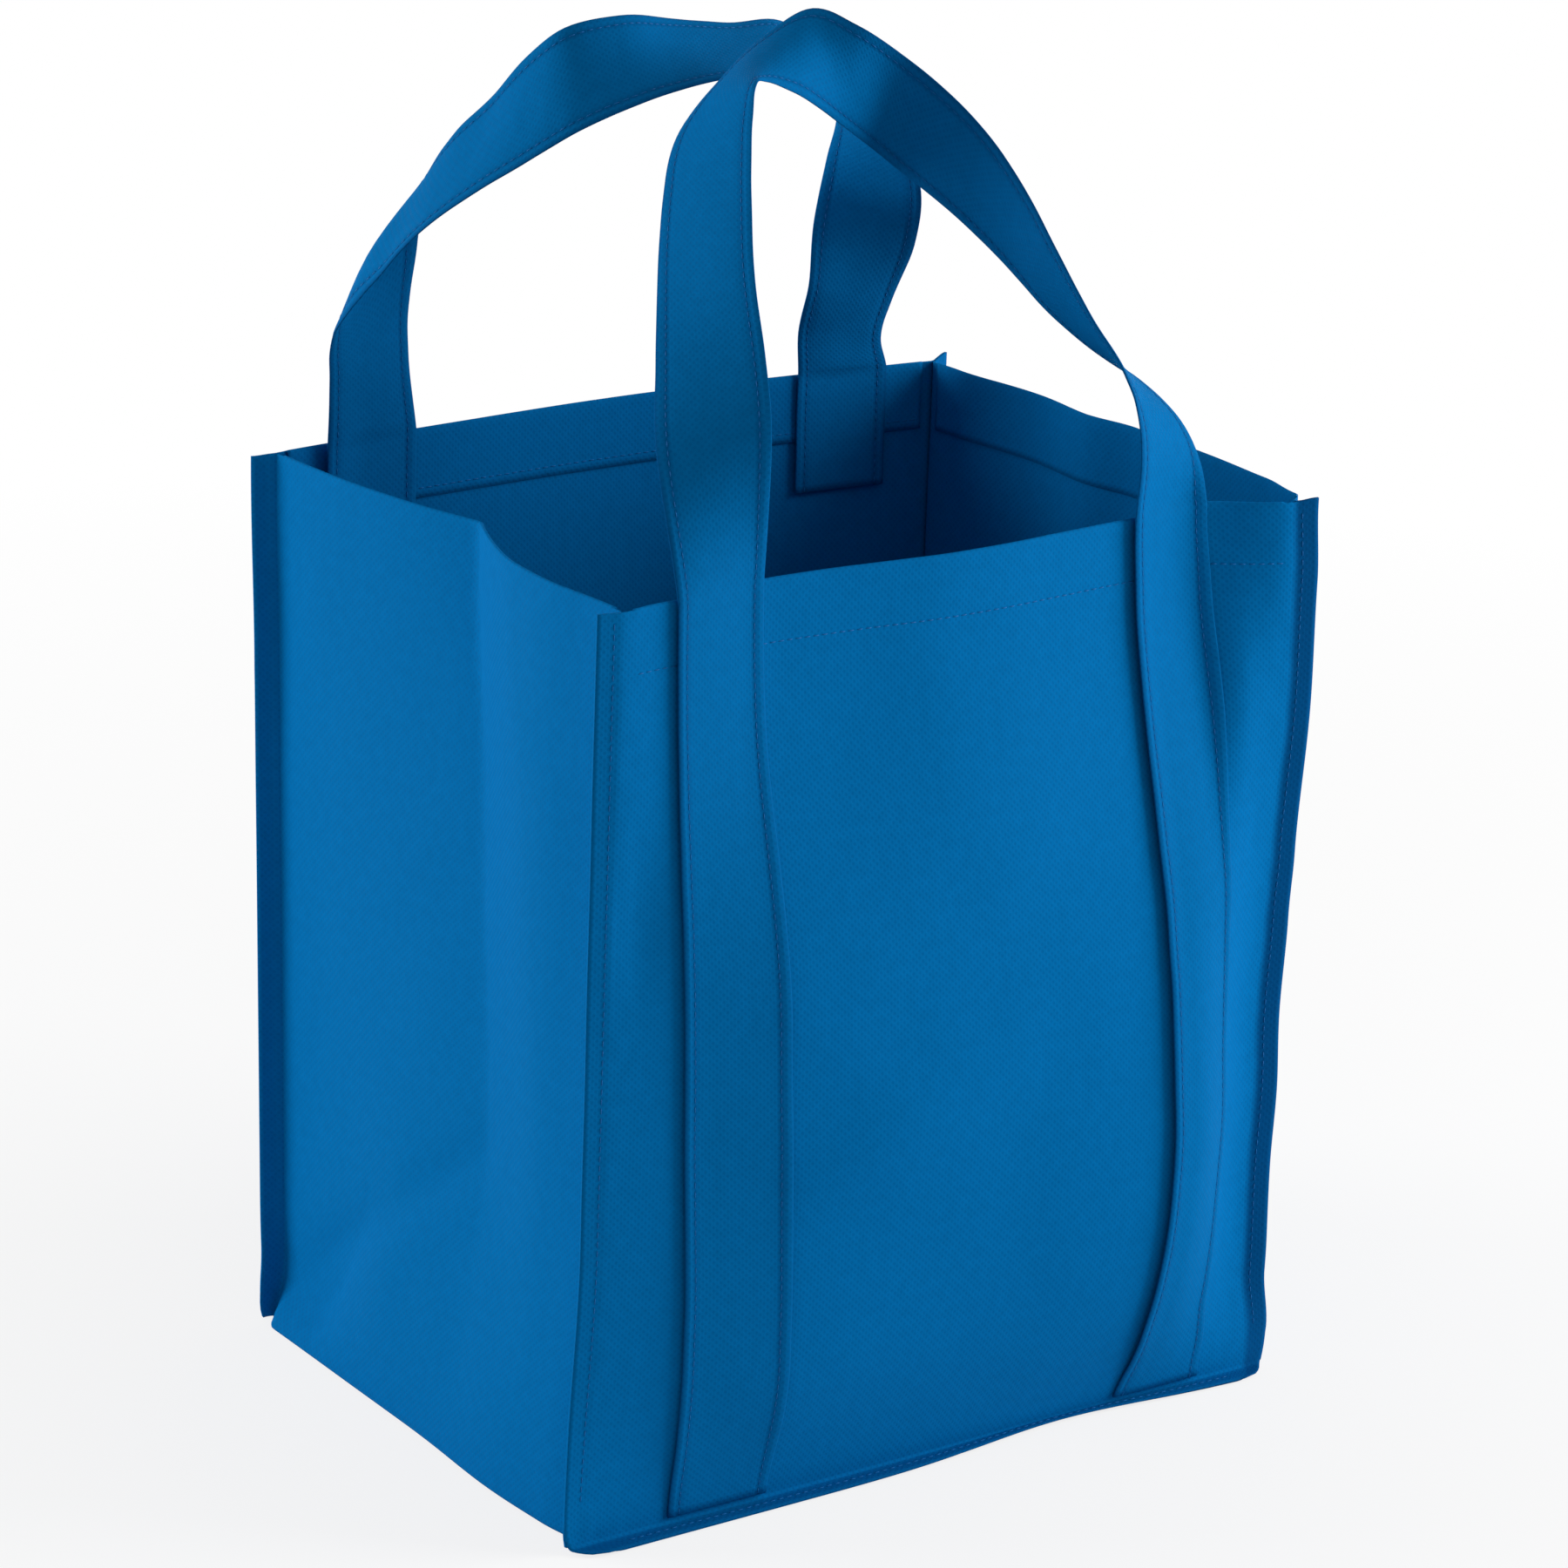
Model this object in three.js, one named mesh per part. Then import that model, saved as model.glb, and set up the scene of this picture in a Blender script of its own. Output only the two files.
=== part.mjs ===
// Open-topped sewn tote bag of spun-bonded fabric, standing on its base. Millimetres, +Z up.
// +X runs along the front panel to the right, -Y faces the front, the origin is under the base.
import * as THREE from 'three';
import { mergeVertices } from 'three/addons/utils/BufferGeometryUtils.js';

// Overall sizes, seam to seam.
const WIDTH = 282;
const DEPTH = 217;
const HEIGHT = 330;

// Fabric, seams and hem.
const SHEET = 0.6;
const LAYER_GAP = 0.3;
const SEAM_FLANGE = 9;
const BASE_FLANGE = 8;
const FOLD_RADIUS = 4;
const HEM_DEPTH = 25;
const HEM_INSET = 4;

// Straps, and how far in from the side seams their centre lines are sewn at the rim and at the base.
const STRAP_WIDTH = 38;
const STRAP_THICK = 1.2;
const STRAP_GAP = 0.5;
const FRONT_LEFT_RIM_INSET = 40;
const FRONT_LEFT_BASE_INSET = 49;
const FRONT_RIGHT_RIM_INSET = 49;
const FRONT_RIGHT_BASE_INSET = 44;
const STRAP_START = 4;
const BACK_LEFT_INSET = 38;
const BACK_RIGHT_INSET = 40;
const BACK_SEWN = 45;

// Handle arches above the rim: how high a strap's middle climbs, and how far the edge of a level
// strap there would lie past the bag's middle at the front and short of it at the back.
const FRONT_RISE = 150;
const FRONT_PAST = 15;
const BACK_RISE = 146;
const BACK_SHORT = 9;
const SPAN_STEPS = 3;

// How the empty bag settles: outward bellies, drawn-in rims and the folded left side.
const FRONT_BELLY = 22;
const FRONT_BELLY_INSET = 57;
const BELLY_SIDESTEP = 7;
const FRONT_DRAW = 7;
const CORNER_DRAW = 9;
const CORNER_DRAW_INSET = 23;
const BACK_BELLY = 9;
const RIGHT_BELLY = 8;
const LEFT_FOLD = 15;
const LEFT_FOLD_Y = 2;
const LEFT_FOLD_REACH = 48;

// Loose stiffener that lies on the base.
const BOARD_THICK = 2;
const BOARD_CLEAR = 3;
const BOARD_CORNER = 8;

const CLOTH_BLUE = 0x0a66ab;
const STRAP_BLUE = 0x0a5f9f;
const BOARD_GREY = 0x3a3d42;

const HALF_W = WIDTH / 2;
const HALF_D = DEPTH / 2;

const FRONT_LEFT_RIM = -HALF_W + FRONT_LEFT_RIM_INSET;
const FRONT_LEFT_BASE = -HALF_W + FRONT_LEFT_BASE_INSET;
const FRONT_RIGHT_RIM = HALF_W - FRONT_RIGHT_RIM_INSET;
const FRONT_RIGHT_BASE = HALF_W - FRONT_RIGHT_BASE_INSET;
const BACK_LEFT = -HALF_W + BACK_LEFT_INSET;
const BACK_RIGHT = HALF_W - BACK_RIGHT_INSET;
const FRONT_LEAN = HALF_D - STRAP_WIDTH / 2 + FRONT_PAST;
const BACK_LEAN = HALF_D - STRAP_WIDTH / 2 - BACK_SHORT;
const FRONT_BELLY_X = HALF_W - FRONT_BELLY_INSET;
const CORNER_DRAW_X = HALF_W - CORNER_DRAW_INSET;

const clamp01 = (t) => Math.min(1, Math.max(0, t));
const smooth = (t) => clamp01(t) ** 2 * (3 - 2 * clamp01(t));
const mix = (a, b, t) => a + (b - a) * t;

function spread(from, to, count) {
  return Array.from({ length: count + 1 }, (_, k) => mix(from, to, k / count));
}

// Belly: nothing at the base, fullest at a third of the height, gone below the rim.
function belly(z) {
  const t = clamp01(z / (0.92 * HEIGHT));
  return Math.max(0, Math.sin(Math.PI * t ** 0.65)) ** 1.6;
}

function nearRim(z) {
  return smooth((z / HEIGHT - 0.55) / 0.45);
}

function acrossRidge(x) {
  if (x < FRONT_BELLY_X) {
    return smooth((x + HALF_W) / (FRONT_BELLY_X + HALF_W));
  }
  return smooth((HALF_W - x) / (HALF_W - FRONT_BELLY_X));
}

function frontShift(x, z) {
  const share = Math.min(1, Math.abs(x) / HALF_W);
  const out = acrossRidge(x) * belly(z);
  const dent = Math.exp(-(((x - CORNER_DRAW_X) / 15) ** 2)) * (1 - share ** 16);
  const drawn = FRONT_DRAW * (1 - share ** 4) + CORNER_DRAW * dent;
  return { along: BELLY_SIDESTEP * out, in: drawn * nearRim(z) - FRONT_BELLY * out };
}

function backShift(x, z) {
  const share = Math.min(1, Math.abs(x) / HALF_W);
  return { along: 0, in: -BACK_BELLY * (1 - share ** 2) * Math.max(belly(z), nearRim(z)) };
}

function leftShift(y, z) {
  const back = (HALF_D - y) / (HALF_D - LEFT_FOLD_Y);
  const front = (y - LEFT_FOLD_Y + LEFT_FOLD_REACH) / LEFT_FOLD_REACH;
  const fold = y > LEFT_FOLD_Y ? clamp01(back) : smooth(front);
  return LEFT_FOLD * fold * smooth((z / HEIGHT - 0.3) / 0.7);
}

function rightShift(y, z) {
  const share = Math.min(1, Math.abs(y) / HALF_D);
  return RIGHT_BELLY * (1 - share ** 2) * Math.max(belly(z), nearRim(z));
}

// Splits each four-sided cell along its shorter diagonal, so that layers lying together match.
function splitShortest(geometry) {
  const index = geometry.index;
  const at = (k) => new THREE.Vector3().fromBufferAttribute(geometry.attributes.position, index.getX(k));
  for (let k = 0; k < index.count; k += 6) {
    if (at(k).distanceTo(at(k + 4)) < at(k + 1).distanceTo(at(k + 2)) - 1e-3) {
      index.setX(k + 2, index.getX(k + 4));
      index.setX(k + 3, index.getX(k));
    }
  }
}

// A closed sheet: a box of one cell's thickness whose grid corners are set one by one.
function sheet(name, colour, columns, rows, corner) {
  const box = new THREE.BoxGeometry(columns, 1, rows, columns, 1, rows);
  box.deleteAttribute('normal');
  box.deleteAttribute('uv');
  const geometry = mergeVertices(box, 1e-4);
  const at = geometry.attributes.position;
  for (let k = 0; k < at.count; k += 1) {
    const column = Math.round(at.getX(k) + columns / 2);
    const row = Math.round(at.getZ(k) + rows / 2);
    const side = at.getY(k) < 0 ? 0 : 1;
    const p = corner(column, row, side);
    at.setXYZ(k, p.x, p.y, p.z);
  }
  splitShortest(geometry);
  geometry.computeVertexNormals();
  const material = new THREE.MeshStandardMaterial({ color: colour, roughness: 0.85, metalness: 0 });
  const mesh = new THREE.Mesh(geometry, material);
  mesh.name = name;
  return mesh;
}

// Heights shared by the panels and the straps sewn on them.
const WALL_LEVELS = [
  STRAP_START,
  0.04 * HEIGHT,
  ...spread(0.08 * HEIGHT, HEIGHT - HEM_DEPTH - 22, 10),
  HEIGHT - HEM_DEPTH - SHEET,
  HEIGHT - HEM_DEPTH,
  HEIGHT - HEM_DEPTH / 2,
  HEIGHT,
];

function strapCentre(rim, base, z) {
  return mix(base, rim, clamp01(z / HEIGHT));
}

function strapColumns(centre) {
  return [centre - STRAP_WIDTH / 2, centre, centre + STRAP_WIDTH / 2];
}

// The columns of a panel at one height: seam flanges, hem ends, strap lines and the cloth between.
function panelColumns(left, right, flange) {
  const a = strapColumns(left);
  const b = strapColumns(right);
  const inner = HALF_W - HEM_INSET;
  return [
    -HALF_W - flange,
    -HALF_W,
    -HALF_W + HEM_INSET / 2,
    -inner,
    ...a,
    ...spread(a[2], b[0], 8).slice(1, -1),
    ...b,
    mix(b[2], inner, 0.5),
    inner,
    HALF_W - HEM_INSET / 2,
    HALF_W,
    HALF_W + flange,
  ];
}

// Seam flange at the sides, rounded off towards the bottom corners.
function flangeAt(z) {
  const t = clamp01(z / (1.6 * SEAM_FLANGE));
  return SEAM_FLANGE * Math.sqrt(1 - (1 - t) ** 2);
}

const PANEL_INNER = HALF_D + LAYER_GAP / 2;
const PANEL_OUTER = PANEL_INNER + SHEET;
const FLANGE_LOW = SHEET + LAYER_GAP;
const FLANGE_TOP = FLANGE_LOW + SHEET;

// Front (facing -1) or back (facing +1) panel with its side flanges, base flange and top hem.
function panel(name, facing, left, right, shift) {
  const rows = WALL_LEVELS.length + 1;
  const columnsAt = (z) => panelColumns(left(z), right(z), flangeAt(z));
  const columns = columnsAt(HEIGHT).length - 1;
  return sheet(name, CLOTH_BLUE, columns, rows, (column, row, side) => {
    const outer = (side === 0) === (facing < 0);
    if (row < 2) {
      const taper = row === 0 ? (HALF_W - FOLD_RADIUS) / (HALF_W + flangeAt(FLANGE_TOP)) : 1;
      const x = columnsAt(FLANGE_TOP)[column] * taper;
      const reach = row === 0 ? PANEL_OUTER + BASE_FLANGE : outer ? PANEL_OUTER : PANEL_INNER;
      return new THREE.Vector3(x, facing * reach, outer ? FLANGE_TOP : FLANGE_LOW);
    }
    const z = WALL_LEVELS[row - 2];
    const x = columnsAt(z)[column];
    const hemmed = z >= HEIGHT - HEM_DEPTH && Math.abs(x) <= HALF_W - HEM_INSET + 1e-6;
    const depth = outer ? PANEL_OUTER : PANEL_INNER - (hemmed ? SHEET : 0);
    const moved = shift(x, z);
    return new THREE.Vector3(x + moved.along, facing * (depth - moved.in), z);
  });
}

// One strip of cloth down the left side, under the base and up the right side.
function gusset() {
  const wallOut = HALF_W + SHEET / 2;
  const bend = wallOut - FOLD_RADIUS;
  const levels = [...WALL_LEVELS].reverse().filter((z) => z > FOLD_RADIUS + SEAM_FLANGE);
  const wall = levels.map((z) => ({ run: wallOut, z, turn: 0, kind: 'wall' }));
  const arc = [0, 30, 60, 90].map((deg) => ({ turn: (deg * Math.PI) / 180, kind: 'arc' }));
  const half = [...wall, ...arc];
  const floor = spread(-bend + BASE_FLANGE, bend - BASE_FLANGE, 8).map((x) => ({ x, kind: 'base' }));
  const left = half.map((r) => ({ ...r, hand: -1 }));
  const right = half.map((r) => ({ ...r, hand: 1 })).reverse();
  const path = [...left, ...floor, ...right];
  const front = -HALF_D + LAYER_GAP / 2;
  const inside = [-HALF_D + HEM_INSET / 2, -HALF_D + HEM_INSET];
  const middle = spread(-HALF_D + HEM_INSET, HALF_D - HEM_INSET, 12).slice(1, -1);
  const across = [front, front, ...inside, ...middle, -inside[1], -inside[0], -front, -front];
  const last = across.length - 1;

  function section(row, outer) {
    if (row.kind === 'base') {
      return { x: row.x, z: outer ? 0 : SHEET };
    }
    const radius = outer ? FOLD_RADIUS : FOLD_RADIUS - SHEET;
    const x = bend + radius * Math.cos(row.turn);
    const z = row.kind === 'wall' ? row.z : FOLD_RADIUS - radius * Math.sin(row.turn);
    return { x: row.hand * x, z };
  }

  return sheet('gusset', CLOTH_BLUE, last, path.length - 1, (column, index, side) => {
    const row = path[index];
    const outer = side === 0;
    const p = section(row, outer);
    const end = column < 2 ? -1 : column > last - 2 ? 1 : 0;
    const tip = column === 0 || column === last;
    if (row.kind === 'wall' && end !== 0) {
      const y = end * (HALF_D - LAYER_GAP / 2 - (outer ? SHEET : 0));
      const x = tip ? row.hand * (HALF_W + SEAM_FLANGE) : p.x;
      return new THREE.Vector3(x, y, p.z);
    }
    if (tip) {
      const reach = row.kind === 'base' ? PANEL_OUTER + BASE_FLANGE : HALF_D - LAYER_GAP / 4;
      return new THREE.Vector3(p.x, end * reach, p.z);
    }
    const y = across[column];
    if (row.kind !== 'wall') {
      return new THREE.Vector3(p.x, y, p.z);
    }
    const hemmed = !outer && p.z >= HEIGHT - HEM_DEPTH && Math.abs(y) <= HALF_D - HEM_INSET + 1e-6;
    const inward = hemmed ? SHEET : 0;
    const moved = row.hand < 0 ? leftShift(y, p.z) : rightShift(y, p.z);
    return new THREE.Vector3(p.x - row.hand * inward + moved, y, p.z);
  });
}

// Stations of an arch between its two rim points. Each gives the place across from -1 to 1, the share
// of the lean, the share of the rise, and the strap's row there, from its inner to its outer edge, as
// x, y and z in strap widths. A row longer than 1 lies askew, where the strip turns or folds over.
const FRONT_ARCH = [
  [-0.97, 0.11, 0.32, -0.81, 0.56, -0.17],
  [-0.88, 0.26, 0.47, -0.62, 0.76, -0.22],
  [-0.8, 0.4, 0.61, -0.41, 0.9, -0.25],
  [-0.68, 0.58, 0.77, -0.29, 0.94, -0.31],
  [-0.54, 0.73, 0.89, -0.12, 1, -0.34],
  [-0.38, 0.82, 0.97, 0.22, 0.95, -0.2],
  [-0.2, 0.9, 1.01, 0.52, 0.84, 0.21],
  [-0.03, 0.9, 1.01, 0.52, 0.61, 0.64],
  [0.15, 0.87, 0.95, 0.12, 0.02, 0.92],
  [0.38, 0.88, 0.85, -0.16, -0.4, 1.05],
  [0.53, 0.76, 0.75, -0.18, -0.47, 0.99],
  [0.66, 0.62, 0.64, -0.28, -0.52, 0.92],
  [0.74, 0.47, 0.51, -0.38, -0.6, 0.78],
  [0.82, 0.34, 0.4, -0.57, -0.64, 0.56],
  [0.91, 0.21, 0.3, -0.72, -0.62, 0.35],
  [0.96, 0.13, 0.22, -0.85, -0.49, 0.31],
  [0.99, 0.07, 0.13, -0.94, -0.33, 0.25],
];
const BACK_ARCH = [
  [-1.03, 0.05, 0.17, -0.98, -0.2, -0.01],
  [-1.06, 0.08, 0.27, -0.97, -0.23, -0.21],
  [-1.07, 0.15, 0.39, -0.97, -0.14, -0.72],
  [-1.06, 0.24, 0.49, -0.91, -0.2, -0.92],
  [-1.04, 0.33, 0.57, -0.81, -0.32, -0.91],
  [-0.98, 0.47, 0.68, -0.71, -0.42, -0.84],
  [-0.9, 0.63, 0.77, -0.59, -0.5, -0.81],
  [-0.8, 0.8, 0.87, -0.36, -0.57, -0.83],
  [-0.69, 0.94, 0.96, -0.18, -0.54, -0.87],
  [-0.49, 0.99, 1, -0.21, -0.68, -0.74],
  [-0.25, 0.96, 1, -0.36, -0.93, -0.46],
  [-0.01, 0.93, 0.99, -0.42, -0.99, -0.29],
  [0.22, 0.88, 0.98, -0.52, -1.03, -0.25],
  [0.54, 0.74, 0.87, -0.39, -1.08, -0.15],
  [0.77, 0.55, 0.7, 0.02, -1.06, -0.1],
  [0.87, 0.42, 0.57, 0.49, -0.86, -0.18],
  [0.89, 0.34, 0.41, 0.91, -0.39, -0.23],
  [0.92, 0.2, 0.24, 1.04, 0.01, -0.28],
  [0.96, 0.07, 0.11, 1.02, -0.03, -0.17],
];

// Edge points of the free arch.
function archEdges(stations, from, to, facing, rise, lean) {
  const middle = (from.x + to.x) / 2;
  const half = (to.x - from.x) / 2;
  return stations.map(([across, leant, risen, ...row]) => {
    const start = mix(from.y, to.y, (across + 1) / 2);
    const centre = new THREE.Vector3(middle + across * half, start - facing * lean * leant, from.z + rise * risen);
    const reach = new THREE.Vector3(...row).multiplyScalar(STRAP_WIDTH / 2);
    return { outer: centre.clone().add(reach), inner: centre.clone().sub(reach) };
  });
}

// A strap sewn up one side, carried over as an arch and sewn down the other. One with a half turn in
// it comes down with its outer edge on the inner side.
function strap(name, sewn, levels, arch, facing, rise, lean, halfTurn) {
  const across = (side, z) => ({
    outer: sewn(side, z, side),
    middle: sewn(side, z, 0),
    inner: sewn(side, z, -side),
  });
  const up = levels.map((z) => across(-1, z));
  const down = [...levels].reverse().map((z) => {
    const row = across(1, z);
    return halfTurn ? { outer: row.inner, middle: row.middle, inner: row.outer } : row;
  });
  const free = archEdges(arch, up[up.length - 1].middle, down[0].middle, facing, rise, lean);
  const knots = [up[up.length - 2], up[up.length - 1], ...free, down[0], down[1]];
  const outerCurve = new THREE.CatmullRomCurve3(knots.map((e) => e.outer));
  const innerCurve = new THREE.CatmullRomCurve3(knots.map((e) => e.inner));
  const spans = knots.length - 1;
  const rows = [...up];
  for (let k = SPAN_STEPS + 1; k < (spans - 1) * SPAN_STEPS; k += 1) {
    const t = k / (spans * SPAN_STEPS);
    const outer = outerCurve.getPoint(t);
    const inner = innerCurve.getPoint(t);
    rows.push({ outer, middle: outer.clone().add(inner).multiplyScalar(0.5), inner });
  }
  rows.push(...down);
  return sheet(name, STRAP_BLUE, 2, rows.length - 1, (column, row, side) => {
    const here = rows[row];
    const ahead = rows[Math.min(row + 1, rows.length - 1)].middle;
    const behind = rows[Math.max(row - 1, 0)].middle;
    const along = ahead.clone().sub(behind);
    const thick = along.cross(here.outer.clone().sub(here.inner)).setLength(STRAP_THICK / 2);
    const p = [here.inner, here.middle, here.outer][column].clone();
    return p.addScaledVector(thick, side === 0 ? -1 : 1);
  });
}

// Where a strap's edge lies on its panel: outside the front panel, inside the back panel.
function onFront(side, z, hand) {
  const rim = side < 0 ? FRONT_LEFT_RIM : FRONT_RIGHT_RIM;
  const base = side < 0 ? FRONT_LEFT_BASE : FRONT_RIGHT_BASE;
  const x = strapCentre(rim, base, z) + (hand * STRAP_WIDTH) / 2;
  const moved = frontShift(x, z);
  const depth = PANEL_OUTER + STRAP_GAP + STRAP_THICK / 2;
  return new THREE.Vector3(x + moved.along, moved.in - depth, z);
}

function onBack(side, z, hand) {
  const x = (side < 0 ? BACK_LEFT : BACK_RIGHT) + (hand * STRAP_WIDTH) / 2;
  const moved = backShift(x, z);
  const depth = PANEL_INNER - SHEET - STRAP_GAP - STRAP_THICK / 2;
  return new THREE.Vector3(x + moved.along, depth - moved.in, z);
}

function baseBoard() {
  const x = HALF_W - FOLD_RADIUS - BOARD_CLEAR;
  const y = HALF_D - BOARD_CLEAR;
  const r = BOARD_CORNER;
  const outline = new THREE.Shape();
  outline.moveTo(-x + r, -y);
  outline.lineTo(x - r, -y);
  outline.quadraticCurveTo(x, -y, x, -y + r);
  outline.lineTo(x, y - r);
  outline.quadraticCurveTo(x, y, x - r, y);
  outline.lineTo(-x + r, y);
  outline.quadraticCurveTo(-x, y, -x, y - r);
  outline.lineTo(-x, -y + r);
  outline.quadraticCurveTo(-x, -y, -x + r, -y);
  const solid = { depth: BOARD_THICK, bevelEnabled: false, curveSegments: 6 };
  const geometry = new THREE.ExtrudeGeometry(outline, solid);
  const material = new THREE.MeshStandardMaterial({ color: BOARD_GREY, roughness: 0.8, metalness: 0 });
  const mesh = new THREE.Mesh(geometry, material);
  mesh.name = 'base_board';
  mesh.position.z = SHEET + LAYER_GAP;
  return mesh;
}

const frontLeft = (z) => strapCentre(FRONT_LEFT_RIM, FRONT_LEFT_BASE, z);
const frontRight = (z) => strapCentre(FRONT_RIGHT_RIM, FRONT_RIGHT_BASE, z);
const backLevels = [HEIGHT - BACK_SEWN, ...WALL_LEVELS.filter((z) => z > HEIGHT - BACK_SEWN)];

const group = new THREE.Group();
group.name = 'tote_bag';
group.add(panel('front_panel', -1, frontLeft, frontRight, frontShift));
group.add(panel('back_panel', 1, () => BACK_LEFT, () => BACK_RIGHT, backShift));
group.add(gusset());
group.add(strap('front_handle', onFront, WALL_LEVELS, FRONT_ARCH, -1, FRONT_RISE, FRONT_LEAN, true));
group.add(strap('back_handle', onBack, backLevels, BACK_ARCH, 1, BACK_RISE, BACK_LEAN, false));
group.add(baseBoard());

export default group;
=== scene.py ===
import math

import bmesh
import bpy
from mathutils import Matrix, Vector, noise


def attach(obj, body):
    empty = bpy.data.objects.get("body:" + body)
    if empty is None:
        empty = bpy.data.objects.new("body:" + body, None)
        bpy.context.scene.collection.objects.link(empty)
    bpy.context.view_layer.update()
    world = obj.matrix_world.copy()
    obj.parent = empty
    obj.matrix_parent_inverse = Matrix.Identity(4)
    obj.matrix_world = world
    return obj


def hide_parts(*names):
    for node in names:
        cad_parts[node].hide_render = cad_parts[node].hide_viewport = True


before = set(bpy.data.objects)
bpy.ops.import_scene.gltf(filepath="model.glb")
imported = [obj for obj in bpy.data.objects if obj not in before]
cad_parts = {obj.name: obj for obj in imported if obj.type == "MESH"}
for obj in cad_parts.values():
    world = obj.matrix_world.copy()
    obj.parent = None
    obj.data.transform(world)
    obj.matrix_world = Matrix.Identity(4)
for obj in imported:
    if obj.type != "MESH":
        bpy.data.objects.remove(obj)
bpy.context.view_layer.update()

# An open-topped tote sewn from spun-bonded cloth: two panels, one gusset strip that runs down a
# side, under the base and up the other side, and two carrying straps. Shapes are worked out in
# millimetres in the frame of the solids and carried to metres when a mesh is made.
MM = 0.001
HALF_W, HALF_D, HEIGHT = 141.0, 108.5, 330.0

# One cloth's thickness, how far each of two sewn cloths lies from their seam, and the widths of
# the seam flanges and of the hem, which stops short of the corners.
CLOTH = 0.5
LAYER = 0.45
FLANGE = 9.0
BASE_FLANGE = 8.0
HEM = 25.0
HEM_INSET = 4.0

# Radius of the fold at the rim and of the panel's fold to its base flange, the height of that
# flange, and the radii of the gusset's bend at the base and of its folds to its flanges.
RIM_FOLD = 0.45
FOOT_FOLD = 1.5
FOOT_LEVEL = 1.2
SIDE_BEND = 1.8
SIDE_FOLD = 1.2

# Half the width of a strap, its thickness, how far its middle lies off the panel's and how far its
# stitching lies from its middle.
STRAP_HALF = 19.0
STRAP_THICK = 1.1
STRAP_LIFT = 1.15
STRAP_STITCH = 15.2

# Where each strap end's middle is sewn, the front ones given at the rim and at the base, how high
# the front ends start and how long the back ends are sewn.
FRONT_LEFT = (-101.0, -92.0)
FRONT_RIGHT = (92.0, 97.0)
BACK_LEFT = -103.0
BACK_RIGHT = 101.0
STRAP_START = 4.0
BACK_SEWN = 45.0


def clamp01(t):
    return min(1.0, max(0.0, t))


def smooth(t):
    t = clamp01(t)
    return t * t * (3 - 2 * t)


def mix(a, b, t):
    return a + (b - a) * t


def bump(at, centre, reach):
    return math.exp(-(((at - centre) / reach) ** 2))


def between(stations, at):
    """A smooth value from a short list of (place, value) stations."""
    for (a, low), (b, high) in zip(stations, stations[1:]):
        if at <= b:
            return mix(low, high, smooth((at - a) / (b - a)))
    return stations[-1][1]


def crumple(a, b, seed, size):
    """Slow random unevenness of a hanging cloth, with lumps of about this size."""
    return noise.noise(Vector((a / size, b / size, seed)))


def steps(start, end, size):
    count = max(1, round(abs(end - start) / size))
    return [mix(start, end, k / count) for k in range(count + 1)]


# How the empty bag has settled. Each shift moves a point of a flat wall to where the cloth hangs.
# The front is fullest along one line right of its middle, where its belly stands out and drifts
# to the right. Its rim is drawn in between the corners.
BELLY_LINE = 84.0
BELLY_OUT = 22.0
BELLY_DRIFT = 7.0
BACK_BELLY = 9.0
SIDE_BELLY = 8.0
FRONT_RIM = [(-141, 0), (-121, 2.5), (-76, 9.5), (-3, 4.5), (72, 8.5), (104, 15), (141, 0)]


def belly(z):
    t = clamp01(z / (0.92 * HEIGHT))
    return max(0.0, math.sin(math.pi * t**0.65)) ** 1.6


def near_rim(z):
    return smooth((z / HEIGHT - 0.55) / 0.45)


def loose(x, half, z):
    """Nothing along the seams and the base, and full in the open cloth."""
    return smooth((half - abs(x)) / 30) * smooth(z / 40)


def front_shift(x, z):
    if x < BELLY_LINE:
        across = smooth((x + HALF_W) / (BELLY_LINE + HALF_W))
    else:
        across = smooth((HALF_W - x) / (HALF_W - BELLY_LINE))
    out = across * belly(z)
    # The rim's dent reaches less far down by the right corner.
    rim_share = mix(near_rim(z), smooth((z - 255) / 75), smooth((x - 104) / 20))
    inward = between(FRONT_RIM, x) * rim_share - BELLY_OUT * out
    free = loose(x, HALF_W, z)
    inward += free * (1.3 * crumple(x, z, 1.3, 75) + 0.35 * crumple(x, z, 4.1, 24))
    # A swell under the left strap, a full place high in the middle, a slanting ridge below it,
    # a hollow beside the left seam and fine puckers along both seams.
    left_swell = math.sin(math.pi / 2 * clamp01((x + HALF_W) / 69))
    left_swell *= 1 - smooth((x + 72) / 100)
    inward -= 7.0 * left_swell * smooth(z / 60) * (1 - smooth((z - 180) / 110))
    inward -= 4.5 * bump(x, 5, 50) * bump(z, 225, 70)
    across_ridge = (z - 138) * 0.9 - (x + 28) * 0.43
    along_ridge = (x + 28) * 0.9 + (z - 138) * 0.43
    inward -= 2.4 * bump(across_ridge, 0, 20) * bump(along_ridge, 0, 46)
    inward += 1.6 * bump(x, -131, 9) * bump(z, 218, 26)
    inward += 0.25 * crumple(x, z, 7.7, 7) * bump(abs(x), HALF_W - 4, 7)
    return BELLY_DRIFT * out, inward


def back_shift(x, z):
    share = min(1.0, abs(x) / HALF_W)
    inward = -BACK_BELLY * (1 - share**2) * max(belly(z), near_rim(z))
    free = loose(x, HALF_W, z)
    inward += free * (1.6 * crumple(x, z, 11.3, 80) + 0.4 * crumple(x, z, 14.1, 26))
    inward += 0.25 * crumple(x, z, 17.7, 7) * bump(abs(x), HALF_W - 4, 7)
    return 0.0, inward


# The left side is folded in along a line that starts mid-rim and runs down towards the front.
FOLD_LINE = [(0, -30), (124, -25), (217, -14), (330, 1)]
FOLD_DEPTH = [(0, 0), (60, 1.5), (124, 5.5), (217, 9.5), (330, 15)]


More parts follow.
